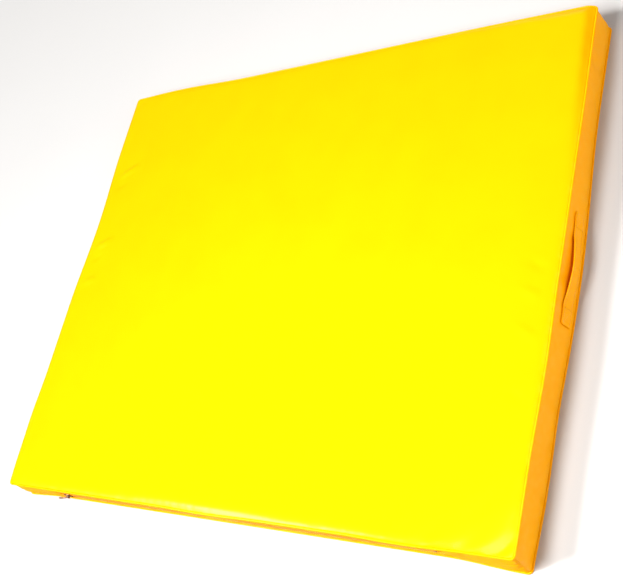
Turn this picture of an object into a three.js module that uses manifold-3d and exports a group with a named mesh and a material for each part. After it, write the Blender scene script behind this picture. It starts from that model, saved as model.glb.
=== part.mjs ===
// A rectangular foam mat in a sewn vinyl cover, lying flat, with a carry handle on each side and a zip
// along its foot wall. Millimetres, +Z up. The origin is the centre of the underside. The head wall
// faces +Y, the foot wall -Y, and the handles are on the left wall (-X) and the right wall (+X).
import * as THREE from 'three';
import { mergeVertices } from 'three/addons/utils/BufferGeometryUtils.js';
import Module from 'manifold-3d';

const wasm = await Module();
wasm.setup();

// Overall size, over the piping
const MAT_WIDTH = 1200;
const MAT_LENGTH = 1000;
const MAT_THICKNESS = 72;
const CORNER_RADIUS = 9; // the four upright corners

// Cover
const VINYL = 1.2; // thickness of the coated fabric
const GAP = 0.3; // play between pieces that touch
const CORNER_STEPS = 6; // facets round one quarter corner

// Piping: a round bead, with a flat tail that is sewn in under the panel
const BEAD = 4; // diameter
const BEAD_PROUD = 2.4; // how far it stands out past the walls
const BEAD_ROUNDING = 1.6; // radius of its rounded edges
const BEAD_STEPS = 3;
const TAIL_WIDTH = 6;
const TAIL_THICKNESS = 1;

// Zip, at mid height in the foot wall
const ZIP_LENGTH = 894; // the rows of teeth, end to end
const ZIP_HEIGHT = MAT_THICKNESS / 2;
const SLOT_HEIGHT = 14; // the opening between the two wall strips
const TAPE_WIDTH = 16;
const TAPE_THICKNESS = 0.6;
const TAPE_OVERRUN = 10; // tape past the last tooth
const TEETH_HEIGHT = 3; // one row
const TEETH_DEPTH = 2.4;
const TEETH_PARTING = 2.4; // between the two rows, where the slider's neck runs
const STOP_LENGTH = 3;
const FLAP_HEIGHT = 40; // inner flap, between the zip and the foam
const FLAP_THICKNESS = 0.8;

// Zip slider and its pull
const SLIDER_LENGTH = 16;
const SLIDER_HEIGHT = 12;
const SLIDER_PLATE = 1.6;
const SLIDER_BACK = 1.2;
const SLIDER_LIP = 1.5; // the edges that fold round the teeth
const NECK_HEIGHT = 1.8;
const NECK_LENGTH = 6;
const CHEEK = 1.2; // the two ears that hold the pin
const CHEEK_RADIUS = 2.2;
const PIN_RADIUS = 1;
const PIN_STANDOFF = 2.6; // pin centre out from the slider's plate
const PULL_LENGTH = 28; // from the pin to the tip
const PULL_WIDTH = 7;
const PULL_THICKNESS = 1.6;
const PULL_EYE_RADIUS = 2.2;
const PULL_EYE_WIDTH = 4.8;
const PULL_HOLE_RADIUS = 1.6;
const PULL_LIFT = THREE.MathUtils.degToRad(10); // off the wall at rest

// Handles: a folded strap, bowed off the wall between its two sewn ends
const STRAP_SPAN = 144; // between the sewn ends
const STRAP_WIDTH = 28;
const STRAP_THICKNESS = 3;
const STRAP_BOW = 6; // gap behind the middle of the strap
const STRAP_STEPS = 24;
const SEWN_LENGTH = 30;
const SEWN_ROUNDING = 4;
const HANDLE_HEIGHT = MAT_THICKNESS / 2;
const HANDLE_TO_FOOT = 12; // both handles sit this far towards the foot wall
const BACKING_LENGTH = 230;
const BACKING_HEIGHT = 50;
const BACKING_THICKNESS = 1;

// Foam
const FOAM_EASE = 7; // its edges give way to the seam tails by this much
const FOAM_CORNER_RADIUS = 9;

// Derived faces, as distances from the mat's middle or from its underside
const WALL_FACE_X = MAT_WIDTH / 2 - BEAD_PROUD;
const WALL_FACE_Y = MAT_LENGTH / 2 - BEAD_PROUD;
const WALL_LOW = BEAD + GAP;
const WALL_HIGH = MAT_THICKNESS - WALL_LOW;
const SLOT_LOW = ZIP_HEIGHT - SLOT_HEIGHT / 2;
const SLOT_HIGH = ZIP_HEIGHT + SLOT_HEIGHT / 2;

// Depths behind the foot wall's plane, from the outside in
const TAPE_FACE_Y = WALL_FACE_Y - VINYL - GAP;
const TEETH_BACK_Y = TAPE_FACE_Y + GAP;
const TEETH_FACE_Y = TEETH_BACK_Y + TEETH_DEPTH;
const PLATE_BACK_Y = TEETH_FACE_Y + GAP;
const PLATE_FACE_Y = PLATE_BACK_Y + SLIDER_PLATE;
const SLIDER_BACK_FACE_Y = TAPE_FACE_Y - TAPE_THICKNESS - GAP;
const FLAP_FACE_Y = SLIDER_BACK_FACE_Y - SLIDER_BACK - GAP;
const PIN_Y = PLATE_FACE_Y + PIN_STANDOFF;

// Looks
const vinyl = { color: 0xffe000, roughness: 0.35, metalness: 0 };
const foam = { color: 0xe9e2c8, roughness: 0.95, metalness: 0 };
const tape = { color: 0xf0c800, roughness: 0.85, metalness: 0 };
const nylon = { color: 0xf2ca10, roughness: 0.5, metalness: 0 };
const metal = { color: 0x6e5a45, roughness: 0.35, metalness: 1 };

const mat = new THREE.Group();

function addPiece(name, geometry, look, parent = mat) {
  const piece = new THREE.Mesh(geometry, new THREE.MeshStandardMaterial(look));
  piece.name = name;
  parent.add(piece);
  return piece;
}

// Solid work

function toSolid(geometry) {
  const bare = geometry.clone();
  bare.deleteAttribute('normal');
  bare.deleteAttribute('uv');
  const merged = mergeVertices(bare);
  return new wasm.Manifold(new wasm.Mesh({
    numProp: 3,
    vertProperties: new Float32Array(merged.attributes.position.array),
    triVerts: new Uint32Array(merged.index.array),
  }));
}

function toGeometry(solid) {
  const mesh = solid.getMesh();
  const geometry = new THREE.BufferGeometry();
  geometry.setAttribute('position', new THREE.BufferAttribute(mesh.vertProperties, 3));
  geometry.setIndex(new THREE.BufferAttribute(mesh.triVerts, 1));
  geometry.computeVertexNormals();
  return geometry;
}

function join(...geometries) {
  return toGeometry(geometries.map(toSolid).reduce((whole, next) => whole.add(next)));
}

function common(first, second) {
  return toGeometry(toSolid(first).intersect(toSolid(second)));
}

function box(low, high) {
  const size = high.map((value, axis) => value - low[axis]);
  const middle = high.map((value, axis) => (value + low[axis]) / 2);
  return new THREE.BoxGeometry(...size).translate(...middle);
}

// A shape drawn in plan, raised from one height to another
function raise(shape, low, high) {
  const options = { depth: high - low, bevelEnabled: false, curveSegments: CORNER_STEPS };
  return new THREE.ExtrudeGeometry(shape, options).translate(0, 0, low);
}

// A rod along Z of round section
function rod(radius, low, high) {
  const upright = new THREE.CylinderGeometry(radius, radius, high - low, 2 * CORNER_STEPS);
  return upright.rotateX(Math.PI / 2).translate(0, 0, (low + high) / 2);
}

// Plan outlines

// The mat's outline, moved inwards by inset
function matOutline(inset) {
  const x = MAT_WIDTH / 2 - CORNER_RADIUS;
  const y = MAT_LENGTH / 2 - CORNER_RADIUS;
  const radius = CORNER_RADIUS - inset;
  const shape = new THREE.Shape();
  shape.absarc(x, y, radius, 0, Math.PI / 2, false);
  shape.absarc(-x, y, radius, Math.PI / 2, Math.PI, false);
  shape.absarc(-x, -y, radius, Math.PI, 1.5 * Math.PI, false);
  shape.absarc(x, -y, radius, 1.5 * Math.PI, 2 * Math.PI, false);
  shape.closePath();
  return shape;
}

// The band between two such outlines
function matBand(outerInset, innerInset) {
  const shape = matOutline(outerInset);
  shape.holes.push(matOutline(innerInset));
  return shape;
}

// A wall that faces +X, from the seam in one corner to the seam in the other. reach and halfSpan are
// the distances of the corners' centres ahead and to the side.
function wallOutline(reach, halfSpan) {
  const outer = CORNER_RADIUS - BEAD_PROUD;
  const inner = outer - VINYL;
  const seam = Math.PI / 4 - GAP / 2 / inner;
  const shape = new THREE.Shape();
  shape.absarc(reach, -halfSpan, outer, -seam, 0, false);
  shape.absarc(reach, halfSpan, outer, 0, seam, false);
  shape.absarc(reach, halfSpan, inner, seam, 0, true);
  shape.absarc(reach, -halfSpan, inner, 0, -seam, true);
  shape.closePath();
  return shape;
}

// Foam

function addFoam() {
  const side = WALL_FACE_X - VINYL - 2 * GAP - BACKING_THICKNESS - GAP;
  const head = WALL_FACE_Y - VINYL - 2 * GAP;
  const foot = FLAP_FACE_Y - FLAP_THICKNESS - GAP;
  const low = VINYL + GAP;
  const high = MAT_THICKNESS - low;
  const x = side - FOAM_CORNER_RADIUS;
  const corners = [[x, head - FOAM_CORNER_RADIUS], [-x, head - FOAM_CORNER_RADIUS],
    [-x, FOAM_CORNER_RADIUS - foot], [x, FOAM_CORNER_RADIUS - foot]];
  const shape = new THREE.Shape();
  corners.forEach(([cornerX, cornerY], turn) => {
    const start = turn * Math.PI / 2;
    const radius = FOAM_CORNER_RADIUS - FOAM_EASE;
    shape.absarc(cornerX, cornerY, radius, start, start + Math.PI / 2, false);
  });
  shape.closePath();
  const block = new THREE.ExtrudeGeometry(shape, {
    depth: high - low - 2 * FOAM_EASE,
    bevelSize: FOAM_EASE,
    bevelThickness: FOAM_EASE,
    bevelSegments: 1,
    curveSegments: CORNER_STEPS,
  });
  addPiece('foam_core', block.translate(0, 0, low + FOAM_EASE), foam);
}

// Cover panels and their piping

function addPanels() {
  const outline = matOutline(BEAD + GAP);
  addPiece('cover_bottom_panel', raise(outline, 0, VINYL), vinyl);
  addPiece('cover_top_panel', raise(outline, MAT_THICKNESS - VINYL, MAT_THICKNESS), vinyl);
}

function pipingRing(middle) {
  const core = BEAD - 2 * BEAD_ROUNDING;
  const options = {
    depth: core,
    bevelSize: BEAD_ROUNDING,
    bevelThickness: BEAD_ROUNDING,
    bevelSegments: BEAD_STEPS,
    curveSegments: CORNER_STEPS,
  };
  const bead = new THREE.ExtrudeGeometry(matBand(BEAD_ROUNDING, BEAD_ROUNDING + core), options);
  bead.translate(0, 0, middle - core / 2);
  const tailBand = matBand(BEAD / 2, BEAD / 2 + TAIL_WIDTH);
  const tail = raise(tailBand, middle - TAIL_THICKNESS / 2, middle + TAIL_THICKNESS / 2);
  return join(bead, tail);
}

function addPiping() {
  addPiece('piping_bottom', pipingRing(BEAD / 2), vinyl);
  addPiece('piping_top', pipingRing(MAT_THICKNESS - BEAD / 2), vinyl);
}

// Cover walls. The foot wall is two strips, with the zip between them and a patch at each of its ends.

function addWalls() {
  const cornerX = MAT_WIDTH / 2 - CORNER_RADIUS;
  const cornerY = MAT_LENGTH / 2 - CORNER_RADIUS;
  const sideWall = wallOutline(cornerX, cornerY);
  const endWall = wallOutline(cornerY, cornerX);
  addPiece('cover_wall_right', raise(sideWall, WALL_LOW, WALL_HIGH), vinyl);
  addPiece('cover_wall_left', raise(sideWall, WALL_LOW, WALL_HIGH), vinyl).rotation.z = Math.PI;
  addPiece('cover_wall_head', raise(endWall, WALL_LOW, WALL_HIGH), vinyl).rotation.z = Math.PI / 2;

  const foot = new THREE.Group();
  foot.rotation.z = -Math.PI / 2;
  mat.add(foot);
  addPiece('cover_wall_foot_lower', raise(endWall, WALL_LOW, SLOT_LOW), vinyl, foot);
  addPiece('cover_wall_foot_upper', raise(endWall, SLOT_HIGH, WALL_HIGH), vinyl, foot);
  const filler = raise(endWall, SLOT_LOW + GAP, SLOT_HIGH - GAP);
  const start = ZIP_LENGTH / 2 + STOP_LENGTH + TAPE_OVERRUN;
  const rightHalf = box([0, start, 0], [MAT_LENGTH, MAT_WIDTH, MAT_THICKNESS]);
  const leftHalf = box([0, -MAT_WIDTH, 0], [MAT_LENGTH, -start, MAT_THICKNESS]);
  addPiece('zip_end_patch_right', common(filler, rightHalf), vinyl, foot);
  addPiece('zip_end_patch_left', common(filler, leftHalf), vinyl, foot);
}

// Zip

// A straight piece of the zip, given as depths out from the mat's middle and heights off mid zip
function zipBox(x, depths, heights) {
  const low = [x[0], -depths[1], ZIP_HEIGHT + heights[0]];
  const high = [x[1], -depths[0], ZIP_HEIGHT + heights[1]];
  return box(low, high);
}

function teethRow(side) {
  const half = ZIP_LENGTH / 2;
  const section = new THREE.Shape();
  section.absellipse(0, 0, TEETH_HEIGHT / 2, TEETH_DEPTH / 2, 0, 2 * Math.PI, false, 0);
  const row = new THREE.ExtrudeGeometry(section, {
    depth: ZIP_LENGTH,
    bevelEnabled: false,
    curveSegments: 2 * CORNER_STEPS,
  });
  row.rotateY(Math.PI / 2);
  const height = ZIP_HEIGHT + side * (TEETH_PARTING + TEETH_HEIGHT) / 2;
  return row.translate(-half, -(TEETH_FACE_Y + TEETH_BACK_Y) / 2, height);
}

function addZipTapes() {
  const reach = ZIP_LENGTH / 2 + TAPE_OVERRUN;
  const near = TEETH_PARTING / 2;
  const far = near + TAPE_WIDTH;
  const depths = [TAPE_FACE_Y - TAPE_THICKNESS, TAPE_FACE_Y];
  addPiece('zip_tape_upper', zipBox([-reach, reach], depths, [near, far]), tape);
  addPiece('zip_tape_lower', zipBox([-reach, reach], depths, [-far, -near]), tape);
  addPiece('zip_teeth_upper', teethRow(1), nylon);
  addPiece('zip_teeth_lower', teethRow(-1), nylon);
}

function addZipStops() {
  const start = ZIP_LENGTH / 2 + GAP;
  const depths = [TEETH_BACK_Y, TEETH_FACE_Y];
  const half = TEETH_PARTING / 2 + TEETH_HEIGHT;
  const right = zipBox([start, start + STOP_LENGTH], depths, [-half, half]);
  const left = zipBox([-start - STOP_LENGTH, -start], depths, [-half, half]);
  addPiece('zip_stop_right', right, metal);
  addPiece('zip_stop_left', left, metal);
}

function addZipFlap() {
  const reach = ZIP_LENGTH / 2 + TAPE_OVERRUN;
  const depths = [FLAP_FACE_Y - FLAP_THICKNESS, FLAP_FACE_Y];
  const flap = zipBox([-reach, reach], depths, [-FLAP_HEIGHT / 2, FLAP_HEIGHT / 2]);
  addPiece('zip_inner_flap', flap, tape);
}

// The slider's middle stands at x = 0 in its group, and the group stands at the zip's left stop.

function sliderBody() {
  const half = SLIDER_LENGTH / 2;
  const top = SLIDER_HEIGHT / 2;
  const lipBack = TAPE_FACE_Y + 2 * GAP;
  const backDepths = [SLIDER_BACK_FACE_Y - SLIDER_BACK, SLIDER_BACK_FACE_Y];
  const neckDepths = [SLIDER_BACK_FACE_Y - SLIDER_BACK, PLATE_FACE_Y];
  const neckHeights = [-NECK_HEIGHT / 2, NECK_HEIGHT / 2];
  const parts = [
    zipBox([-half, half], [PLATE_BACK_Y, PLATE_FACE_Y], [-top, top]),
    zipBox([-half, half], backDepths, [-top, top]),
    zipBox([-NECK_LENGTH / 2, NECK_LENGTH / 2], neckDepths, neckHeights),
    zipBox([-half, half], [lipBack, PLATE_FACE_Y], [top - SLIDER_LIP, top]),
    zipBox([-half, half], [lipBack, PLATE_FACE_Y], [-top, SLIDER_LIP - top]),
  ];
  const cheekInside = PULL_EYE_WIDTH / 2 + GAP;
  const cheekOutside = cheekInside + CHEEK;
  for (const side of [-1, 1]) {
    const ends = [side * cheekInside, side * cheekOutside].sort((a, b) => a - b);
    const round = rod(CHEEK_RADIUS, ZIP_HEIGHT + ends[0], ZIP_HEIGHT + ends[1]);
    parts.push(round.translate(0, -PIN_Y, 0));
    parts.push(zipBox([-CHEEK_RADIUS, CHEEK_RADIUS], [PLATE_BACK_Y, PIN_Y], ends));
  }
  const pin = rod(PIN_RADIUS, ZIP_HEIGHT - cheekOutside, ZIP_HEIGHT + cheekOutside);
  parts.push(pin.translate(0, -PIN_Y, 0));
  return join(...parts);
}

// The pull points to -X from the pin, with its width along Z and the pin at the origin.
function pullTab() {
  const half = PULL_WIDTH / 2;
  const shoulder = CHEEK_RADIUS + 2 * GAP;
  const tipCentre = PULL_LENGTH - half;
  const blade = new THREE.Shape();
  blade.moveTo(shoulder, -half);
  blade.lineTo(tipCentre, -half);
  blade.absarc(tipCentre, 0, half, -Math.PI / 2, Math.PI / 2, false);
  blade.lineTo(shoulder, half);
  blade.closePath();
  const hole = new THREE.Path();
  hole.absarc(tipCentre, 0, PULL_HOLE_RADIUS, 0, 2 * Math.PI, false);
  blade.holes.push(hole);
  const plate = raise(blade, -PULL_THICKNESS / 2, PULL_THICKNESS / 2);
  plate.rotateX(Math.PI / 2).rotateZ(Math.PI);

  const eyeHalf = PULL_EYE_WIDTH / 2;
  const ring = new THREE.Shape();
  ring.absarc(0, 0, PULL_EYE_RADIUS, 0, 2 * Math.PI, false);
  const bore = new THREE.Path();
  bore.absarc(0, 0, PIN_RADIUS + GAP, 0, 2 * Math.PI, false);
  ring.holes.push(bore);
  const eye = raise(ring, -eyeHalf, eyeHalf);
  const start = (PULL_EYE_RADIUS + PIN_RADIUS + GAP) / 2;
  const bridgeLow = [-shoulder - GAP, -PULL_THICKNESS / 2, -eyeHalf];
  const bridge = box(bridgeLow, [-start, PULL_THICKNESS / 2, eyeHalf]);
  return join(eye, bridge, plate);
}

function addSlider() {
  const slider = new THREE.Group();
  slider.position.x = -ZIP_LENGTH / 2 + SLIDER_LENGTH / 2;
  mat.add(slider);
  addPiece('zip_slider', sliderBody(), metal, slider);
  const pull = addPiece('zip_pull', pullTab(), metal, slider);
  pull.position.set(0, -PIN_Y, ZIP_HEIGHT);
  pull.rotation.z = PULL_LIFT;
}

// Handles, drawn on the wall that faces +X

// The strap's distance from the wall, easing away from both sewn ends
function bowAt(y) {
  return GAP + (STRAP_BOW - GAP) * (1 + Math.cos(2 * Math.PI * y / STRAP_SPAN)) / 2;
}

function strapSolid() {
  const half = STRAP_SPAN / 2;
  const inside = [];
  for (let step = 0; step <= STRAP_STEPS; step += 1) {
    const y = -half + STRAP_SPAN * step / STRAP_STEPS;
    inside.push(new THREE.Vector2(WALL_FACE_X + bowAt(y), y));
  }
  const outside = inside.map((point) => new THREE.Vector2(point.x + STRAP_THICKNESS, point.y));
  const shape = new THREE.Shape([...outside, ...inside.reverse()]);
  return raise(shape, HANDLE_HEIGHT - STRAP_WIDTH / 2, HANDLE_HEIGHT + STRAP_WIDTH / 2);
}

// A sewn end, from the strap's end at y = start to its own end further out
function sewnEnd(side) {
  const near = STRAP_SPAN / 2 + GAP;
  const far = near + SEWN_LENGTH;
  const half = STRAP_WIDTH / 2;
  const shape = new THREE.Shape();
  shape.moveTo(near, -half);
  shape.absarc(far - SEWN_ROUNDING, SEWN_ROUNDING - half, SEWN_ROUNDING, -Math.PI / 2, 0, false);
  shape.absarc(far - SEWN_ROUNDING, half - SEWN_ROUNDING, SEWN_ROUNDING, 0, Math.PI / 2, false);
  shape.lineTo(near, half);
  shape.closePath();
  const plate = raise(shape, WALL_FACE_X + GAP, WALL_FACE_X + GAP + STRAP_THICKNESS);
  plate.rotateY(Math.PI / 2).rotateX(side * Math.PI / 2);
  return plate.translate(0, 0, HANDLE_HEIGHT);
}

function backing() {
  const face = WALL_FACE_X - VINYL - GAP;
  const low = [face - BACKING_THICKNESS, -BACKING_LENGTH / 2, HANDLE_HEIGHT - BACKING_HEIGHT / 2];
  const high = [face, BACKING_LENGTH / 2, HANDLE_HEIGHT + BACKING_HEIGHT / 2];
  return box(low, high);
}

function addHandle(wall, turn) {
  const handle = new THREE.Group();
  handle.rotation.z = turn;
  handle.position.y = -HANDLE_TO_FOOT;
  mat.add(handle);
  const ends = turn === 0 ? ['head', 'foot'] : ['foot', 'head'];
  addPiece(`handle_${wall}_strap`, strapSolid(), vinyl, handle);
  addPiece(`handle_${wall}_end_${ends[0]}`, sewnEnd(1), vinyl, handle);
  addPiece(`handle_${wall}_end_${ends[1]}`, sewnEnd(-1), vinyl, handle);
  addPiece(`handle_${wall}_backing`, backing(), vinyl, handle);
}

addFoam();
addPanels();
addPiping();
addWalls();
addZipTapes();
addZipStops();
addZipFlap();
addSlider();
addHandle('right', 0);
addHandle('left', Math.PI);

export default mat;
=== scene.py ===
"""Looks of the foam mat: its padded vinyl cover, piping, zip and handles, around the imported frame."""
import math

import bmesh
import bpy
import numpy as np
from mathutils import Matrix, Vector
from mathutils.bvhtree import BVHTree


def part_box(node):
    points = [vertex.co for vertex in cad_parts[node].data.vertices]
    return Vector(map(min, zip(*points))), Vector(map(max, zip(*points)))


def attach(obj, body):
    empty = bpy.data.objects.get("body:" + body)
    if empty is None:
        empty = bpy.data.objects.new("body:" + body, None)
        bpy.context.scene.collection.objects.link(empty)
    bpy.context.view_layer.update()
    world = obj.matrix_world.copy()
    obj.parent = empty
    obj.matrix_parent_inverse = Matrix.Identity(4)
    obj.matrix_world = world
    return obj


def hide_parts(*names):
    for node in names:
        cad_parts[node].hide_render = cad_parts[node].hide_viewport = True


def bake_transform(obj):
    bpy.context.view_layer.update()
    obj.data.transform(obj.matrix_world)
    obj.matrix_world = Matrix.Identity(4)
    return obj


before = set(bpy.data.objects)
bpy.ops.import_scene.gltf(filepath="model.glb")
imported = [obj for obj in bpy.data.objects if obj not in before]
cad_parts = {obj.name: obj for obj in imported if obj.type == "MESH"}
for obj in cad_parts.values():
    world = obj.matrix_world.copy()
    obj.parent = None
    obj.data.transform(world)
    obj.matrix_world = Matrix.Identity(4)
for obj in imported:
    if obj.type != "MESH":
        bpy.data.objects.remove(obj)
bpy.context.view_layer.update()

MM = 0.001
TOLERANCE = 0.001 * MM

# The sides of a loft's faces, and how far out in metres the rays start that find a wall's surface.
LOFT_SIDES = 4
RAY_START = 2.0

# Places taken from the frame, in metres.
BEAD_LOW, BEAD_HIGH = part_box("piping_top")
HALF_X = BEAD_HIGH.x
HALF_Y = BEAD_HIGH.y
TOP = BEAD_HIGH.z
BEAD = BEAD_HIGH.z - BEAD_LOW.z
SLOT_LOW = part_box("cover_wall_foot_lower")[1].z
SLOT_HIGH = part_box("cover_wall_foot_upper")[0].z
SLOT_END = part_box("zip_end_patch_right")[0].x

# The outline of the mat and the lines along which its cover is sewn.
CORNER = 9 * MM
BEAD_RADIUS = BEAD / 2
PANEL_INSET = BEAD_RADIUS * 1.65
PANEL_EDGE = TOP - 0.9 * MM
WALL_INSET = -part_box("cover_wall_right")[1].x + HALF_X
WALL_EDGE = TOP - BEAD * 0.95
VINYL = 0.9 * MM

# The grid that the cover is made of.
FINE_CELL = 3 * MM
CELL = 8.5 * MM
CELL_GROWTH = 1.3
WALL_ROWS = 5

# The cloth simulation, and how far the padded cover may then stand from its seams.
PRESSURE = 4
CLOTH_SLACK = 0.01
SIM_FRAMES = 20
PANEL_RISE = 2.4 * MM
UNDERSIDE_RISE = 0.8 * MM
WALL_RISE = 3.0 * MM
WRINKLE_LIMIT = 2 * MM
WRINKLE_SHARE = 0.3
WRINKLE_FADE = 150 * MM
WRINKLE_CELLS = 5
SMOOTHING_CELLS = 1
WALL_PUSH = 1.5
WRINKLE_FALLOFF = 2
CORNER_CALM = 4

# Where the edges of the cover stray from a straight line: side, middle and reach along it, and how far
# outwards at the top and at the underside.
EDGE_BOWS = [
    ("right", -0.03, 0.36, 2.0 * MM, 11.0 * MM),
    ("right", -0.20, 0.16, 2.5 * MM, 1.0 * MM),
    ("right", 0.52, 0.30, -5.0 * MM, 0.0),
    ("left", 0.14, 0.21, -8.0 * MM, -3.0 * MM),
    ("left", -0.35, 0.12, 4.0 * MM, 1.0 * MM),
    ("foot", -0.02, 0.14, 2.0 * MM, 0.0),
    ("foot", 0.40, 0.12, 2.0 * MM, 0.0),
    ("foot", 0.60, 0.15, 0.0, 7.0 * MM),
    ("foot", -0.60, 0.10, 0.0, 4.0 * MM),
    ("left", -0.46, 0.08, 3.0 * MM, 0.0),
    ("left", -0.52, 0.16, 0.0, 7.0 * MM),
    ("right", -0.37, 0.16, 0.0, 5.5 * MM),
    ("head", 0.60, 1.00, 5.5 * MM, 3.0 * MM),
    ("head", -0.44, 0.20, 5.0 * MM, 2.0 * MM),
]
BOW_DEPTH = 120 * MM
SIDES = {"right": (0, 1), "left": (0, -1), "head": (1, 1), "foot": (1, -1)}

# Where the panel rolls down over the foam's edge: side, middle and reach along it, drop and width.
ROLLS = [
    ("right", 0.50, 0.40, 6.5 * MM, 20 * MM),
    ("head", 0.60, 0.30, 1.5 * MM, 14 * MM),
    ("left", -0.50, 0.10, 1.5 * MM, 12 * MM),
]

# Where the panel stands proud next to an edge: side, middle and reach along it, and height.
PUFFS = [
    ("right", 0.46, 0.34, 3.5 * MM),
    ("foot", -0.06, 0.26, 1.5 * MM),
]
PUFF_SHOULDER = 19 * MM
PUFF_DEPTH = 170 * MM

# Short creases in the panel: middle, direction in degrees, half length, half width and height.
CREASES = [
    (-0.537, 0.280, 30, 44 * MM, 13 * MM, 4.4 * MM),
    (-0.550, 0.245, 28, 30 * MM, 14 * MM, -1.4 * MM),
    (-0.545, 0.085, 26, 40 * MM, 14 * MM, 4.0 * MM),
    (-0.556, 0.050, 24, 26 * MM, 13 * MM, -1.6 * MM),
    (-0.553, -0.010, 22, 34 * MM, 14 * MM, 2.8 * MM),
    (0.562, -0.020, -28, 30 * MM, 14 * MM, -1.6 * MM),
    (0.556, -0.070, -22, 34 * MM, 15 * MM, 2.2 * MM),
    (0.560, -0.140, -30, 32 * MM, 14 * MM, 1.8 * MM),
    (0.562, -0.250, -30, 28 * MM, 14 * MM, -1.4 * MM),
]

# Blocks inside the cover.
BLOCK_CUTS = 26
FOAM_ROUND = 9 * MM
FOAM_CLEARANCE = 1.2 * MM
BACKING_ROUND = 0.3 * MM

# The piping: points round its bead, half the angle that its tail takes up, and the tail's length.
BEAD_POINTS = 14
TAIL_ANGLE = 0.22
TAIL_LENGTH = 6 * MM

# Stitches. The gap is a share of the pitch, and the crown, sink and depth are shares of the thread's radius
# or of a seam's sink.
STITCH_PITCH = 4.4 * MM
STITCH_GAP = 0.12
STITCH_RINGS = 5
STITCH_CROWN = 1.5
STITCH_SINK = 0.8
STITCH_DEPTH = 0.8
THREAD_RADIUS = 0.38 * MM
THREAD_SIDES = 6

# The handles' straps.
STRAP_FLAT_STEPS = 16
STRAP_EDGE_STEPS = 6
STRAP_STATIONS = 44
STRAP_END_STATIONS = 16
STRAP_SEAM_MARGIN = 4 * MM
STRAP_SEAM_SINK = 0.5 * MM
STRAP_SEAM_REACH = 2.4 * MM
STRAP_LANDING = 30 * MM
STRAP_CLEARANCE = 0.8 * MM
STRAP_END_CORNER = 4 * MM
STRAP_OFF_WALL = 0.3 * MM
STRAP_END_MARGIN = 1.5 * MM
STRAP_THINNEST = 0.12
STRAP_NARROWING = 0.92

# The zip. A tooth's rings: share of its length, half its width in mm, share of its depth.
TOOTH_PITCH = 2.4 * MM
TOOTH_CROSSING = 0.7 * MM
TOOTH_SHAPE = [(0.0, 0.62, 1.0), (0.22, 0.62, 1.0), (0.46, 0.40, 0.8), (0.78, 0.54, 0.95), (1.0, 0.28, 0.6)]
SLOT_SEAM_MARGIN = 3 * MM
TAPE_NODES = ("zip_tape_upper", "zip_tape_lower", "zip_inner_flap")

# Cast metal pieces, whose edges are rounded off here: node and the body it rides.
CAST_PIECES = [
    ("zip_slider", "slider"),
    ("zip_pull", "pull"),
    ("zip_stop_left", "mat"),
    ("zip_stop_right", "mat"),
]
CAST_WELD = 0.01 * MM
CAST_BEVEL = 0.3 * MM
CAST_BEVEL_STEPS = 3
CAST_SHARPEST = math.radians(40)

# Linear colours.
YELLOW = (0.95, 0.38, 0.0004, 1.0)
DEEP_YELLOW = (0.93, 0.335, 0.0003, 1.0)
WORN_YELLOW = (0.93, 0.41, 0.012, 1.0)
FOAM_CREAM = (0.72, 0.62, 0.40, 1.0)
FOAM_SHADE = (0.62, 0.50, 0.28, 1.0)
TAPE_ORANGE = (0.85, 0.30, 0.002, 1.0)
TAPE_SHADE = (0.62, 0.19, 0.001, 1.0)
THREAD_YELLOW = (0.93, 0.40, 0.01, 1.0)
THREAD_SHADE = (0.80, 0.30, 0.004, 1.0)
NYLON_ORANGE = (0.80, 0.29, 0.004, 1.0)
NYLON_SHADE = (0.72, 0.24, 0.003, 1.0)
BRONZE = (0.10, 0.05, 0.025, 1.0)
RUBBED_BRONZE = (0.24, 0.13, 0.07, 1.0)
FLOOR_GREY = (0.52, 0.51, 0.50, 1.0)
FLOOR_SHADE = (0.50, 0.49, 0.48, 1.0)

# Materials. Scales are in cells per metre and paces in radians per metre. A pair holds the low and high
# end of what a texture's value is read between, or of what it is mapped to.
NOISE = (0.3, 0.7)
WAVE = (-1.0, 1.0)
SHARE = (0.0, 1.0)
RIPPLE_SCALE = 11.0
RIPPLE_HEIGHT = 2.0 * MM
RIPPLE_STRENGTH = 0.3
SCRIM_PITCH = 1.4 * MM
SCRIM_HEIGHT = 0.05 * MM
GRAIN_SCALE = 900.0
GRAIN_DETAIL = 3.0
GRAIN_HEIGHT = 0.06 * MM
FAINT = 0.5
RUB_SCALE = 70.0
RUB_DETAIL = 4.0
RUB_SPOTS = (0.45, 0.7)
RUB_SHARE = (0.0, 0.55)
RUB_BAND = (HALF_X - 9 * MM, HALF_X - 1 * MM)
RUB_ROUGHENING = 0.2
TINT_SPOTS = (0.35, 0.75)
TINT_SHARE = (0.0, 0.3)
VINYL_ROUGHNESS = (0.36, 0.44)
END_GLOSS = 0.07
SIDE_GLOSS = 0.24
FOAM_CELL_SCALE = 600.0
FOAM_CELL_DEPTH = 0.6 * MM
FOAM_CELL_CENTRES = (0.0, 0.6)
FOAM_PATCH_SCALE = 6.0
FOAM_ROUGHNESS = (0.85, 0.97)
CHEVRON_PACE = 1200.0
CHEVRON_REACH = 4.0
RIB_PACE = 5200.0
RIB_SHARE = (0.0, 0.6)
RIB_HEIGHT = 0.15 * MM
FUZZ_SCALE = 1500.0
FUZZ_HEIGHT = 0.05 * MM
FUZZ_STRENGTH = 0.4
TAPE_ROUGHNESS = (0.62, 0.8)
TWIST_PACE = 9000.0
TWIST_LEAN = 1.7
TWIST_HEIGHT = 0.08 * MM
THREAD_ROUGHNESS = (0.5, 0.62)
NYLON_FLOW_SCALE = 500.0
NYLON_FLOW_HEIGHT = 0.05 * MM
NYLON_PATCH_SCALE = 40.0
NYLON_ROUGHNESS = (0.32, 0.46)
SCRATCH_SCALE = 700.0
SCRATCH_DETAIL = 4.0
SCRATCH_HEIGHT = 0.04 * MM
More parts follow.
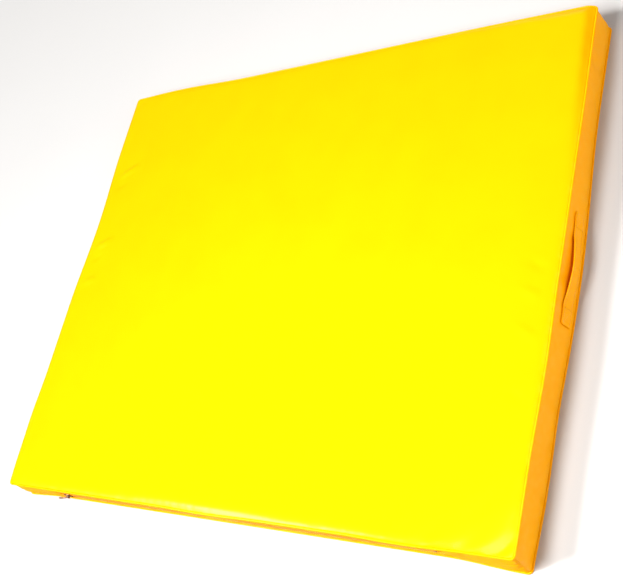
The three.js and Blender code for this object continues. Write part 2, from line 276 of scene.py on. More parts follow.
BRONZE_PATCH_SCALE = 160.0
BRONZE_PATCH_DETAIL = 3.0
BRONZE_PATCH_SPOTS = (0.4, 0.65)
BRONZE_PATCH_SHARE = (0.0, 0.6)
METAL_ROUGHNESS = (0.28, 0.5)
MOTTLE_SCALE = 3.0
MOTTLE_DETAIL = 3.0
FLOOR_GRAIN_SCALE = 60.0
FLOOR_GRAIN_HEIGHT = 0.2 * MM
FLOOR_ROUGHNESS = (0.75, 0.85)

# The camera and the floor: places in metres, the roll in degrees, the lens and sensor in millimetres.
CAMERA_PLACE = (1.213, -0.686, 1.422)
CAMERA_AIM = (0.0483, -0.0270, 0.0)
CAMERA_ROLL = -53.82
LENS = 55.89
SENSOR = 36.0
FLOOR_SIZE = 30.0

# Soft lights: name, place, aimed at, size in metres and power in watts.
LIGHTS = [
    ("key", (-5.0, -2.6, 6.0), (0.0, 0.0, 0.0), 1.6, 1000),
    ("foot_light", (0.2, -0.68, 1.4), (0.0, -0.3, 0.0), 0.6, 32),
    ("side_fill", (2.2, 0.0, 0.9), (0.6, 0.0, 0.0), 1.4, 21),
    ("head_fill", (-0.3, 2.8, 0.8), (0.0, 0.5, 0.0), 1.4, 18),
]
WORLD_LIGHT = 0.22


# ---------------------------------------------------------------- geometry helpers


def smooth(low, high, value):
    """From 0 at low to 1 at high, with a smooth start and end."""
    t = min(max((value - low) / (high - low), 0.0), 1.0)
    return t * t * (3 - 2 * t)


def bump(value, centre, reach):
    """1 at the centre, falling smoothly to 0 at reach on either side."""
    t = min(abs(value - centre) / reach, 1.0)
    return 0.5 + 0.5 * math.cos(math.pi * t)


def eased(value):
    """Packs even steps from -1 to 1 towards both ends, where round edges need enough of them."""
    return math.sin(value * math.pi / 2)


def linked(name, data):
    """A new object in the scene."""
    obj = bpy.data.objects.new(name, data)
    bpy.context.scene.collection.objects.link(obj)
    return obj


def mesh_object(name, points, faces, look):
    """A smooth mesh, apart from the many-sided faces that close the ends of a loft, which stay flat."""
    mesh = bpy.data.meshes.new(name)
    mesh.from_pydata(points, [], faces)
    mesh.polygons.foreach_set("use_smooth", [len(face) <= LOFT_SIDES for face in faces])
    mesh.materials.append(look)
    return linked(name, mesh)


def outward(obj):
    """Turns the faces of a closed mesh outwards."""
    shape = bmesh.new()
    shape.from_mesh(obj.data)
    bmesh.ops.recalc_face_normals(shape, faces=shape.faces)
    shape.to_mesh(obj.data)
    shape.free()
    return obj


def loft(rings, closed=False):
    """Points and faces of a solid through equal rings; closed joins the last ring to the first."""
    points = [point for ring in rings for point in ring]
    count = len(rings[0])
    faces = []
    for r in range(len(rings) if closed else len(rings) - 1):
        here = r * count
        there = (r + 1) % len(rings) * count
        for k in range(count):
            after = (k + 1) % count
            faces.append((here + k, here + after, there + after, there + k))
    if not closed:
        faces.append(tuple(reversed(range(count))))
        faces.append(tuple(range(len(points) - count, len(points))))
    return points, faces


def gather(solids):
    """One list of points and one of faces from many solids."""
    points, faces = [], []
    for solid_points, solid_faces in solids:
        start = len(points)
        points.extend(solid_points)
        faces.extend(tuple(start + k for k in face) for face in solid_faces)
    return points, faces


def applied(obj):
    """Applies an object's modifiers to its mesh."""
    seen = obj.evaluated_get(bpy.context.evaluated_depsgraph_get())
    mesh = bpy.data.meshes.new_from_object(seen)
    obj.modifiers.clear()
    obj.data = mesh
    return obj


# ---------------------------------------------------------------- materials


class Graph:
    """One material and the nodes that feed its shader."""

    def __init__(self, name, **constants):
        self.material = bpy.data.materials.new(name)
        self.material.use_nodes = True
        self.nodes = self.material.node_tree.nodes
        self.links = self.material.node_tree.links
        self.shader = self.nodes["Principled BSDF"]
        for socket, value in constants.items():
            self.shader.inputs[socket.replace("_", " ")].default_value = value
        self.place = self.add("ShaderNodeTexCoord").outputs["Object"]

    def add(self, kind, inputs=None, **settings):
        node = self.nodes.new(kind)
        for key, value in settings.items():
            setattr(node, key, value)
        for key, value in (inputs or {}).items():
            if isinstance(value, bpy.types.NodeSocket):
                self.links.new(value, node.inputs[key])
            else:
                node.inputs[key].default_value = value
        return node

    def math(self, operation, first, second=0.0):
        return self.add("ShaderNodeMath", {0: first, 1: second}, operation=operation).outputs[0]

    def noise(self, scale, detail=2.0):
        inputs = {"Vector": self.place, "Scale": scale, "Detail": detail}
        return self.add("ShaderNodeTexNoise", inputs).outputs["Fac"]

    def axes(self):
        """The place's X, Y and Z, by name."""
        return self.add("ShaderNodeSeparateXYZ", {0: self.place}).outputs

    def wave(self, value, pace):
        return self.math("SINE", self.math("MULTIPLY", value, pace))

    def spread(self, value, source, target):
        """Maps a value from the source pair's range to the target pair's, and keeps it there."""
        inputs = {
            "Value": value,
            "From Min": source[0],
            "From Max": source[1],
            "To Min": target[0],
            "To Max": target[1],
        }
        return self.add("ShaderNodeMapRange", inputs).outputs["Result"]

    def mix(self, factor, first, second):
        inputs = {"Factor": factor, 6: first, 7: second}
        return self.add("ShaderNodeMix", inputs, data_type="RGBA").outputs[2]

    def bump(self, height, distance, strength=1.0, below=None):
        inputs = {"Height": height, "Distance": distance, "Strength": strength}
        if below:
            inputs["Normal"] = below
        return self.add("ShaderNodeBump", inputs).outputs["Normal"]

    def finish(self, colour, roughness, normal):
        self.links.new(colour, self.shader.inputs["Base Color"])
        self.links.new(roughness, self.shader.inputs["Roughness"])
        self.links.new(normal, self.shader.inputs["Normal"])
        return self.material


def weave(graph, across, up):
    """A plain weave's height over two of the object's axes."""
    axes = graph.axes()
    pace = 2 * math.pi / SCRIM_PITCH
    return graph.math("MULTIPLY", graph.wave(axes[across], pace), graph.wave(axes[up], pace))


def rubbed_edges(graph):
    """How far the vinyl is rubbed, from none to a patchy share towards the side edges of the mat."""
    spots = graph.noise(RUB_SCALE, RUB_DETAIL)
    near_edge = graph.spread(graph.math("ABSOLUTE", graph.axes()["X"]), RUB_BAND, SHARE)
    return graph.math("MULTIPLY", near_edge, graph.spread(spots, RUB_SPOTS, RUB_SHARE))


def vinyl(name, across, up, gloss):
    """Coated vinyl: its scrim shows faintly over two axes, with a fine grain, ripples and rubbed edges."""
    graph = Graph(name, Specular_IOR_Level=0.0, Coat_Weight=gloss, Coat_Roughness=0.2)
    ripples = graph.noise(RIPPLE_SCALE)
    grain = graph.noise(GRAIN_SCALE, GRAIN_DETAIL)
    rubbed = rubbed_edges(graph)
    tint = graph.mix(graph.spread(ripples, TINT_SPOTS, TINT_SHARE), YELLOW, DEEP_YELLOW)
    colour = graph.mix(rubbed, tint, WORN_YELLOW)
    rougher = graph.math("MULTIPLY", rubbed, RUB_ROUGHENING)
    roughness = graph.math("ADD", graph.spread(grain, NOISE, VINYL_ROUGHNESS), rougher)
    normal = graph.bump(ripples, RIPPLE_HEIGHT, RIPPLE_STRENGTH)
    normal = graph.bump(weave(graph, across, up), SCRIM_HEIGHT, FAINT, normal)
    normal = graph.bump(grain, GRAIN_HEIGHT, FAINT, normal)
    return graph.finish(colour, roughness, normal)


def foam_look():
    """Open-cell foam: cream, matt, full of small cells."""
    graph = Graph("foam", Specular_IOR_Level=0.2)
    texture = graph.add("ShaderNodeTexVoronoi", {"Vector": graph.place, "Scale": FOAM_CELL_SCALE})
    cells = texture.outputs["Distance"]
    colour = graph.mix(graph.noise(FOAM_PATCH_SCALE), FOAM_CREAM, FOAM_SHADE)
    roughness = graph.spread(cells, FOAM_CELL_CENTRES, FOAM_ROUGHNESS)
    return graph.finish(colour, roughness, graph.bump(cells, FOAM_CELL_DEPTH))


def tape_look():
    """Woven polyester tape in a herringbone."""
    graph = Graph("woven_tape", Specular_IOR_Level=0.1, Sheen_Weight=0.05)
    axes = graph.axes()
    rise = graph.math("ABSOLUTE", graph.wave(axes["Z"], CHEVRON_PACE))
    along = graph.math("MULTIPLY", axes["X"], RIB_PACE)
    ribs = graph.math("SINE", graph.math("ADD", along, graph.math("MULTIPLY", rise, CHEVRON_REACH)))
    fuzz = graph.noise(FUZZ_SCALE)
    colour = graph.mix(graph.spread(ribs, WAVE, RIB_SHARE), TAPE_ORANGE, TAPE_SHADE)
    roughness = graph.spread(fuzz, NOISE, TAPE_ROUGHNESS)
    normal = graph.bump(fuzz, FUZZ_HEIGHT, FUZZ_STRENGTH, graph.bump(ribs, RIB_HEIGHT))
    return graph.finish(colour, roughness, normal)


def thread_look():
    """Twisted sewing thread."""
    graph = Graph("sewing_thread", Specular_IOR_Level=0.3, Sheen_Weight=0.2)
    axes = graph.axes()
    flat = graph.math("ADD", axes["X"], axes["Y"])
    along = graph.math("ADD", flat, graph.math("MULTIPLY", axes["Z"], TWIST_LEAN))
    twist = graph.wave(along, TWIST_PACE)
    colour = graph.mix(graph.spread(twist, WAVE, SHARE), THREAD_YELLOW, THREAD_SHADE)
    roughness = graph.spread(twist, WAVE, THREAD_ROUGHNESS)
    return graph.finish(colour, roughness, graph.bump(twist, TWIST_HEIGHT))


def nylon_look():
    """Moulded nylon of the zip's teeth."""
    graph = Graph("zip_nylon", Specular_IOR_Level=0.15)
    flow = graph.noise(NYLON_FLOW_SCALE)
    colour = graph.mix(graph.noise(NYLON_PATCH_SCALE), NYLON_ORANGE, NYLON_SHADE)
    roughness = graph.spread(flow, NOISE, NYLON_ROUGHNESS)
    return graph.finish(colour, roughness, graph.bump(flow, NYLON_FLOW_HEIGHT))


def metal_look():
    """Dark bronze-coloured metal, rubbed brighter here and there."""
    graph = Graph("zip_metal", Metallic=1.0)
    scratches = graph.noise(SCRATCH_SCALE, SCRATCH_DETAIL)
    patches = graph.noise(BRONZE_PATCH_SCALE, BRONZE_PATCH_DETAIL)
    rubbed = graph.spread(patches, BRONZE_PATCH_SPOTS, BRONZE_PATCH_SHARE)
    colour = graph.mix(rubbed, BRONZE, RUBBED_BRONZE)
    roughness = graph.spread(scratches, NOISE, METAL_ROUGHNESS)
    return graph.finish(colour, roughness, graph.bump(scratches, SCRATCH_HEIGHT, FAINT))


def floor_look():
    """A plain pale floor with the faintest mottle."""
    graph = Graph("floor", Specular_IOR_Level=0.1)
    mottle = graph.noise(MOTTLE_SCALE, MOTTLE_DETAIL)
    colour = graph.mix(mottle, FLOOR_GREY, FLOOR_SHADE)
    roughness = graph.spread(mottle, NOISE, FLOOR_ROUGHNESS)
    return graph.finish(colour, roughness, graph.bump(graph.noise(FLOOR_GRAIN_SCALE), FLOOR_GRAIN_HEIGHT))


VINYL_FLAT = vinyl("vinyl_flat", "X", "Y", END_GLOSS)
VINYL_ACROSS = vinyl("vinyl_end_walls", "X", "Z", END_GLOSS)
VINYL_ALONG = vinyl("vinyl_side_walls", "Y", "Z", SIDE_GLOSS)
FOAM = foam_look()
TAPE = tape_look()
THREAD = thread_look()
NYLON = nylon_look()
METAL = metal_look()


# ---------------------------------------------------------------- the cover's outline


def grid_lines(half, snap=None):
    """Places from -half to half: fine cells at both ends, and one line moved onto each place in snap."""
    edge = [0.0]
    step = FINE_CELL
    while step < CELL:
        edge.append(edge[-1] + step)
        step *= CELL_GROWTH
    reach = half - edge[-1]
    count = round(2 * reach / CELL)
    middle = [-reach + 2 * reach * k / count for k in range(1, count)]
    lines = [place - half for place in edge] + middle + [half - place for place in reversed(edge)]
    for place in snap or ():
        nearest = min(range(len(lines)), key=lambda k: abs(lines[k] - place))
        lines[nearest] = place
    return lines


def rounded(x, y, inset):
    """Moves a place in the sharp rectangle into the one with round corners, inset from the outline."""
    radius = CORNER - inset
    inner_x = HALF_X - CORNER
    inner_y = HALF_Y - CORNER
    u = (abs(x) - inner_x) / radius
    v = (abs(y) - inner_y) / radius
    if u <= 0 or v <= 0:
        return x, y
    reach = max(u, v)
    angle = v / u * math.pi / 4 if u >= v else math.pi / 2 - u / v * math.pi / 4
    new_x = inner_x + radius * reach * math.cos(angle)
    new_y = inner_y + radius * reach * math.sin(angle)
    return math.copysign(new_x, x), math.copysign(new_y, y)


def bowed(point):
    """A point of the cover after its edges stray from their straight lines and roll over the foam."""
    moved = Vector(point)
    halves = (HALF_X, HALF_Y)
    lift = smooth(0.0, TOP, point[2])
    for side, middle, reach, at_top, at_underside in EDGE_BOWS:
        axis, sign = SIDES[side]
        near = smooth(halves[axis] - BOW_DEPTH, halves[axis], sign * point[axis])
        outwards = at_underside + (at_top - at_underside) * lift
        moved[axis] += sign * outwards * near * bump(point[1 - axis], middle, reach)
    for side, middle, reach, drop, width in ROLLS:
        axis, sign = SIDES[side]
        inside = max(halves[axis] - sign * point[axis], 0.0)
        share = 1.0 - inside / width
        slope = (smooth(0.0, 1.0, share) + max(share, 0.0)) / 2
        moved[2] -= drop * slope * lift * bump(point[1 - axis], middle, reach)
    return moved


# ---------------------------------------------------------------- the cover's skin

X_LINES = grid_lines(HALF_X - PANEL_INSET, (-SLOT_END, SLOT_END))
Y_LINES = grid_lines(HALF_Y - PANEL_INSET)
LAST_X = len(X_LINES) - 1
LAST_Y = len(Y_LINES) - 1


def ring_cells():
    """Grid cells round the panel's edge, from the left foot corner past the right foot corner."""
    foot = [(i, 0) for i in range(LAST_X)]
    right = [(LAST_X, j) for j in range(LAST_Y)]
    head = [(i, LAST_Y) for i in range(LAST_X, 0, -1)]
    left = [(0, j) for j in range(LAST_Y, 0, -1)]
    return foot + right + head + left


RING = ring_cells()
CORNERS = [0, LAST_X, LAST_X + LAST_Y, 2 * LAST_X + LAST_Y]


def wall_heights():
    """Heights of the wall's rows of points: its edges, the slot's edges and even rows between."""
    low, high = TOP - WALL_EDGE, WALL_EDGE
    below = [low + (SLOT_LOW - low) * k / WALL_ROWS for k in range(WALL_ROWS)]
    above = [SLOT_HIGH + (high - SLOT_HIGH) * k / WALL_ROWS for k in range(WALL_ROWS + 1)]
    return below + [SLOT_LOW, (SLOT_LOW + SLOT_HIGH) / 2] + above


HEIGHTS = wall_heights()
SLOT_ROWS = (WALL_ROWS, WALL_ROWS + 2)


def wall_piece(column, row):
    """The piece of the walls that a face belongs to, by its place in the grid."""
    side = ("foot", "right", "head", "left")[sum(column >= corner for corner in CORNERS[1:])]
    if side != "foot":
        return side
    if row < SLOT_ROWS[0]:
        return "foot_lower"
    if row >= SLOT_ROWS[1]:
        return "foot_upper"
    middle = (X_LINES[column] + X_LINES[column + 1]) / 2
    if abs(middle) < SLOT_END:
        return "slot"
    return "patch_right" if middle > 0 else "patch_left"


class Skin:
    """The cover as one closed grid, with the piece that each face belongs to and the held points."""

    def __init__(self):
        self.points = []
        self.faces = []
        self.piece = []
        self.held = set()
        self.top = self.panel(PANEL_EDGE)
        self.bottom = self.panel(TOP - PANEL_EDGE)
        self.walls = [self.wall_row(z) for z in HEIGHTS]
        self.panel_faces(self.top, "top")
        self.panel_faces(self.bottom, "bottom")
        self.wall_faces()
        self.strip(self.bottom, self.walls[0])
        self.strip(self.top, self.walls[-1])
        self.hold()

    def point(self, x, y, z, inset):
        grow_x = (HALF_X - inset) / (HALF_X - PANEL_INSET)
        grow_y = (HALF_Y - inset) / (HALF_Y - PANEL_INSET)
        self.points.append(Vector((*rounded(x * grow_x, y * grow_y, inset), z)))
        return len(self.points) - 1

    def panel(self, z):
        return {(i, j): self.point(x, y, z, PANEL_INSET)
                for i, x in enumerate(X_LINES) for j, y in enumerate(Y_LINES)}

    def wall_row(self, z):
        return [self.point(X_LINES[i], Y_LINES[j], z, WALL_INSET) for i, j in RING]

    def face(self, corners, piece):
        self.faces.append(corners)
        self.piece.append(piece)

    def panel_faces(self, grid, piece):
        turn = 1 if piece == "top" else -1
        for i in range(LAST_X):
            for j in range(LAST_Y):
                corners = (grid[i, j], grid[i + 1, j], grid[i + 1, j + 1], grid[i, j + 1])
                self.face(corners[::turn], piece)

    def wall_faces(self):
        for row in range(len(self.walls) - 1):
            low, high = self.walls[row], self.walls[row + 1]
            for column in range(len(RING)):
                after = (column + 1) % len(RING)
                corners = (low[column], low[after], high[after], high[column])
                self.face(corners, wall_piece(column, row))

    def strip(self, grid, row):
        edge = [grid[cell] for cell in RING]
        for column in range(len(RING)):
            after = (column + 1) % len(RING)
            self.face((edge[column], edge[after], row[after], row[column]), "seam")

    def hold(self):
        """Holds the edges of the panels and walls, the corner seams and the slot's edges."""
        for grid in (self.top, self.bottom):
            self.held.update(grid[cell] for cell in RING)
        self.held.update(self.walls[0] + self.walls[-1])
        for row in self.walls:
            self.held.update(row[corner] for corner in CORNERS)
        for row in self.walls[SLOT_ROWS[0]:SLOT_ROWS[1] + 1]:
            self.held.update(row[i] for i in range(LAST_X) if abs(X_LINES[i]) <= SLOT_END + TOLERANCE)


def simulated(skin):
    """The points of the skin after cloth simulation: pressure from inside, with the seams held."""
    obj = outward(mesh_object("skin_for_simulation", skin.points, skin.faces, VINYL_FLAT))
    group = obj.vertex_groups.new(name="seams")
    group.add(sorted(skin.held), 1.0, "REPLACE")
    cloth = obj.modifiers.new("Cloth", "CLOTH")
    cloth.settings.vertex_group_mass = "seams"
    cloth.settings.use_pressure = True
    cloth.settings.uniform_pressure_force = PRESSURE
    cloth.settings.effector_weights.gravity = 0
    cloth.settings.shrink_min = -CLOTH_SLACK
    cloth.collision_settings.use_collision = False
    cloth.point_cache.frame_end = SIM_FRAMES
    for number in range(1, SIM_FRAMES + 1):
        bpy.context.scene.frame_set(number)
    seen = obj.evaluated_get(bpy.context.evaluated_depsgraph_get())
    moved = [vertex.co.copy() for vertex in seen.data.vertices]
    bpy.data.objects.remove(obj)
    bpy.context.scene.frame_set(1)
    return moved


def wall_normal(point):
    """The outward direction of the walls at a point of the mat's outline."""
    inner_x = HALF_X - CORNER
    inner_y = HALF_Y - CORNER
    nearest_x = min(max(point.x, -inner_x), inner_x)
    nearest_y = min(max(point.y, -inner_y), inner_y)
    return Vector((point.x - nearest_x, point.y - nearest_y, 0.0)).normalized()


def averaged(values, axis, reach):
    """Each value's mean over its neighbours along one axis of a grid."""
    margin = [(reach, reach) if k == axis else (0, 0) for k in range(values.ndim)]
    wide = np.pad(values, margin, "edge")
    size = values.shape[axis]
    steps = 2 * reach + 1
    return sum(np.take(wide, range(k, k + size), axis) for k in range(steps)) / steps


def limited(values, limit):
    return limit * np.tanh(values / limit)


def panel_movement(skin, moved, grid, limit):
    """How far a panel's points stand out, limited by the foam, with wrinkles kept near its edges."""
    way = 1 if grid is skin.top else -1
    rise = np.zeros((LAST_X + 1, LAST_Y + 1))
    for (i, j), index in grid.items():
        rise[i, j] = way * (moved[index].z - skin.points[index].z)
    rise = averaged(averaged(rise, 0, SMOOTHING_CELLS), 1, SMOOTHING_CELLS)
    rise[[0, -1], :] = 0.0
    rise[:, [0, -1]] = 0.0
    to_side = HALF_X - np.abs(np.array(X_LINES))[:, None]
    to_end = HALF_Y - np.abs(np.array(Y_LINES))[None, :]
    near_side = np.clip(1 - to_side / WRINKLE_FADE, 0, 1) ** WRINKLE_FALLOFF
    near_end = np.clip(1 - to_end / WRINKLE_FADE, 0, 1) ** WRINKLE_FALLOFF
    wrinkles = near_side * (rise - averaged(rise, 1, WRINKLE_CELLS))
    wrinkles = wrinkles + near_end * (rise - averaged(rise, 0, WRINKLE_CELLS))
    off_corners = (1 - near_side * near_end) ** CORNER_CALM
    stands = limited(rise, limit) + WRINKLE_SHARE * off_corners * limited(wrinkles, WRINKLE_LIMIT)
    return way * np.minimum(stands, limit if way < 0 else np.inf)


def puffed(x, y):
    """Extra height of the panel near the edges where the cover is full."""
    height = 0.0
    place, halves = (x, y), (HALF_X, HALF_Y)
    for side, middle, reach, rise in PUFFS:
        axis, sign = SIDES[side]
        inside = halves[axis] - sign * place[axis]
        from_end = halves[1 - axis] - abs(place[1 - axis])
        profile = smooth(PANEL_INSET, PUFF_SHOULDER, inside) * smooth(PUFF_DEPTH, PUFF_SHOULDER, inside)
        profile *= smooth(PANEL_INSET, PUFF_SHOULDER, from_end)
        height += rise * profile * bump(place[1 - axis], middle, reach)
    return height


def settled(skin):
    """The skin's points where the padded cover comes to rest."""
    moved = simulated(skin)
    points = [point.copy() for point in skin.points]
    for grid, limit in ((skin.top, PANEL_RISE), (skin.bottom, UNDERSIDE_RISE)):
        movement = panel_movement(skin, moved, grid, limit)
        for (i, j), index in grid.items():
            points[index].z += movement[i, j]
    for (i, j), index in skin.top.items():
        points[index].z += puffed(X_LINES[i], Y_LINES[j])
    for row in skin.walls:
        for index in row:
            normal = wall_normal(skin.points[index])
            swell = (moved[index] - skin.points[index]).dot(normal)
            points[index] += normal * WALL_RISE * math.tanh(WALL_PUSH * swell / WALL_RISE)
    return [bowed(point) for point in points]


def creased(obj):
    """Presses the short creases into a panel's mesh."""
    for vertex in obj.data.vertices:
        for x, y, degrees, half_length, half_width, height in CREASES:
            turn = math.radians(degrees)
            along = (vertex.co.x - x) * math.cos(turn) + (vertex.co.y - y) * math.sin(turn)
            across = (vertex.co.y - y) * math.cos(turn) - (vertex.co.x - x) * math.sin(turn)
            if abs(along) < half_length and abs(across) < half_width:
                vertex.co.z += height * bump(along, 0, half_length) * bump(across, 0, half_width)


def cover_piece(skin, points, piece, name, look, node):
    """One sewn piece of the cover, cut from the skin and refined, still without thickness."""
    faces = [face for face, owner in zip(skin.faces, skin.piece) if owner == piece]
    used = sorted({index for face in faces for index in face})
    number = {index: k for k, index in enumerate(used)}
    obj = mesh_object(name, [points[index] for index in used],
                      [tuple(number[index] for index in face) for face in faces], look)
    refine = obj.modifiers.new("Subdivision", "SUBSURF")
    refine.levels = refine.render_levels = 1
    refine.boundary_smooth = "PRESERVE_CORNERS"
    applied(obj)
    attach(obj, "mat")
    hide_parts(node)
    return obj


def thickened(obj, thickness):
    solid = obj.modifiers.new("Thickness", "SOLIDIFY")
    solid.thickness = thickness
    solid.offset = -1
    return applied(obj)


COVER_PIECES = [
    ("top", "top_panel", VINYL_FLAT, "cover_top_panel"),
    ("bottom", "bottom_panel", VINYL_FLAT, "cover_bottom_panel"),
    ("right", "right_wall", VINYL_ALONG, "cover_wall_right"),
    ("left", "left_wall", VINYL_ALONG, "cover_wall_left"),
    ("head", "head_wall", VINYL_ACROSS, "cover_wall_head"),
    ("foot_lower", "foot_wall_lower", VINYL_ACROSS, "cover_wall_foot_lower"),
    ("foot_upper", "foot_wall_upper", VINYL_ACROSS, "cover_wall_foot_upper"),
    ("patch_left", "zip_patch_left", VINYL_ACROSS, "zip_end_patch_left"),
    ("patch_right", "zip_patch_right", VINYL_ACROSS, "zip_end_patch_right"),
]


class Wall:
    """The outside of one wall, to put handles and stitches on."""

    def __init__(self, objects, axis, sign):
        solids = [([vertex.co.copy() for vertex in obj.data.vertices],
                   [tuple(polygon.vertices) for polygon in obj.data.polygons]) for obj in objects]
        points, faces = gather(solids)
        self.tree = BVHTree.FromPolygons(points, faces)
        self.axis = axis
        self.normal = Vector((sign, 0, 0)) if axis == 0 else Vector((0, sign, 0))

    def place(self, across, up, height=0.0):
        """The point of the wall at a place along it and a height, and so far above its surface."""
        start = self.normal * RAY_START
        start[1 - self.axis] = across
        start.z = up
        hit = self.tree.ray_cast(start, -self.normal)[0]
        return hit + self.normal * height


def make_cover():
    skin = Skin()
    points = settled(skin)
    pieces = {}
    for piece, name, look, node in COVER_PIECES:
        pieces[piece] = cover_piece(skin, points, piece, name, look, node)
    creased(pieces["top"])
    foot_pieces = [pieces[key] for key in ("foot_lower", "foot_upper", "patch_left", "patch_right")]
    walls = {
        "right": Wall([pieces["right"]], 0, 1),
        "left": Wall([pieces["left"]], 0, -1),
        "foot": Wall(foot_pieces, 1, -1),
    }
    for obj in pieces.values():
        thickened(obj, VINYL)
    return walls


# ---------------------------------------------------------------- foam core and handle backings


def make_block(name, node, look, clearance, roundness):
    """A block with round edges in place of a CAD block, moved with the cover where its edges stray."""
    low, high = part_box(node)
    shape = bmesh.new()
    bmesh.ops.create_cube(shape, size=1.0)
    for edge in shape.edges:
        edge.smooth = True
    bmesh.ops.subdivide_edges(shape, edges=shape.edges, cuts=BLOCK_CUTS, use_grid_fill=True)
    middle = (low + high) / 2
    half = (high - low) / 2 - Vector((clearance, clearance, clearance))
    for vertex in shape.verts:
        ease = [eased(2 * value) for value in vertex.co]
        vertex.co = Vector(middle[k] + ease[k] * half[k] for k in range(3))
        round_off(vertex.co, middle, half, roundness)
        vertex.co = bowed(vertex.co)
    mesh = bpy.data.meshes.new(name)
    shape.to_mesh(mesh)
    shape.free()
    mesh.materials.append(look)
    mesh.polygons.foreach_set("use_smooth", [True] * len(mesh.polygons))
    obj = linked(name, mesh)
    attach(obj, "mat")
    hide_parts(node)
    return obj


def make_filling():
    """The foam core, and the patches behind the handles."""
    foam = make_block("foam_block", "foam_core", FOAM, FOAM_CLEARANCE, FOAM_ROUND)
    for side in ("left", "right"):
        patch = make_block(f"backing_{side}", f"handle_{side}_backing", TAPE, 0.0, BACKING_ROUND)


def round_off(point, middle, half, roundness):
    """Rounds the edges and corners of a block by pulling its outermost points in."""
    inner = [half[k] - roundness for k in range(3)]
    beyond = Vector()
    for k in range(3):
        offset = point[k] - middle[k]
        beyond[k] = math.copysign(max(abs(offset) - inner[k], 0.0), offset)
    if beyond.length > roundness:
        point -= beyond - beyond.normalized() * roundness


# ---------------------------------------------------------------- piping


def piping_section():
    """The piping's section, outwards and upwards from the middle of its bead, with a flat sewn tail."""
    section = []
    for k in range(BEAD_POINTS + 1):
        angle = -math.pi + TAIL_ANGLE + (2 * math.pi - 2 * TAIL_ANGLE) * k / BEAD_POINTS
        section.append((BEAD_RADIUS * math.cos(angle), BEAD_RADIUS * math.sin(angle)))
    half = BEAD_RADIUS * math.sin(TAIL_ANGLE)
    section.append((-TAIL_LENGTH, half))
    section.append((-TAIL_LENGTH, -half))
    return section


def make_piping(name, z, node):
    grow_x = (HALF_X - BEAD_RADIUS) / (HALF_X - PANEL_INSET)
    grow_y = (HALF_Y - BEAD_RADIUS) / (HALF_Y - PANEL_INSET)
    section = piping_section()
    rings = []
    for i, j in RING:
        x, y = rounded(X_LINES[i] * grow_x, Y_LINES[j] * grow_y, BEAD_RADIUS)
        centre = Vector((x, y, z))
        normal = wall_normal(centre)
        ring = [centre + normal * out + Vector((0, 0, up)) for out, up in section]
        shift = bowed(centre) - centre
        rings.append([point + shift for point in ring])
    points, faces = loft(rings, closed=True)
    obj = outward(mesh_object(name, points, faces, VINYL_FLAT))
    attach(obj, "mat")
    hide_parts(node)


# ---------------------------------------------------------------- stitches


def stitch(start, end, normal):
    """One stitch: a short piece of thread that rises from the cloth and dips back into it."""
    along = end - start
    side = along.normalized().cross(normal)
    rings = []
    for k in range(STITCH_RINGS + 1):
        share = k / STITCH_RINGS
        rise = THREAD_RADIUS * (STITCH_CROWN * math.sin(math.pi * share) - STITCH_SINK)
        centre = start + along * share + normal * rise
        turns = [2 * math.pi * n / THREAD_SIDES for n in range(THREAD_SIDES)]
        rings.append([centre + (side * math.cos(a) + normal * math.sin(a)) * THREAD_RADIUS for a in turns])
    return loft(rings)


def sewn(route, place, normal):
    """Stitches along a route of flat places; place() puts each flat place onto the cloth."""
    stitches = []
    for first, last in zip(route, route[1:]):
        count = max(1, round(math.dist(first, last) / STITCH_PITCH))
        for k in range(count):
            ends = [(k + STITCH_GAP) / count, (k + 1 - STITCH_GAP) / count]
            flat = [[a + (b - a) * share for a, b in zip(first, last)] for share in ends]
            stitches.append(stitch(place(*flat[0]), place(*flat[1]), normal))
    return stitches


def make_stitches(name, stitches):
    obj = outward(mesh_object(name, *gather(stitches), THREAD))
    return obj


# ---------------------------------------------------------------- handles


def strap_section(half_width, thickness):
    """A strap's section, as places across it and depths from its inner face, sunk along its two seams."""
    radius = thickness / 2
    flat = half_width - radius
    across = [-flat + 2 * flat * k / STRAP_FLAT_STEPS for k in range(STRAP_FLAT_STEPS + 1)]
    turns = [math.pi * k / STRAP_EDGE_STEPS for k in range(1, STRAP_EDGE_STEPS)]
    seam = half_width - STRAP_SEAM_MARGIN
    outer = [(z, thickness - STRAP_SEAM_SINK * bump(abs(z), seam, STRAP_SEAM_REACH)) for z in across]
    high_edge = [(flat + radius * math.sin(a), radius + radius * math.cos(a)) for a in turns]
    inner = [(z, 0.0) for z in reversed(across)]
    low_edge = [(-flat - radius * math.sin(a), radius - radius * math.cos(a)) for a in turns]
    return outer + high_edge + inner + low_edge


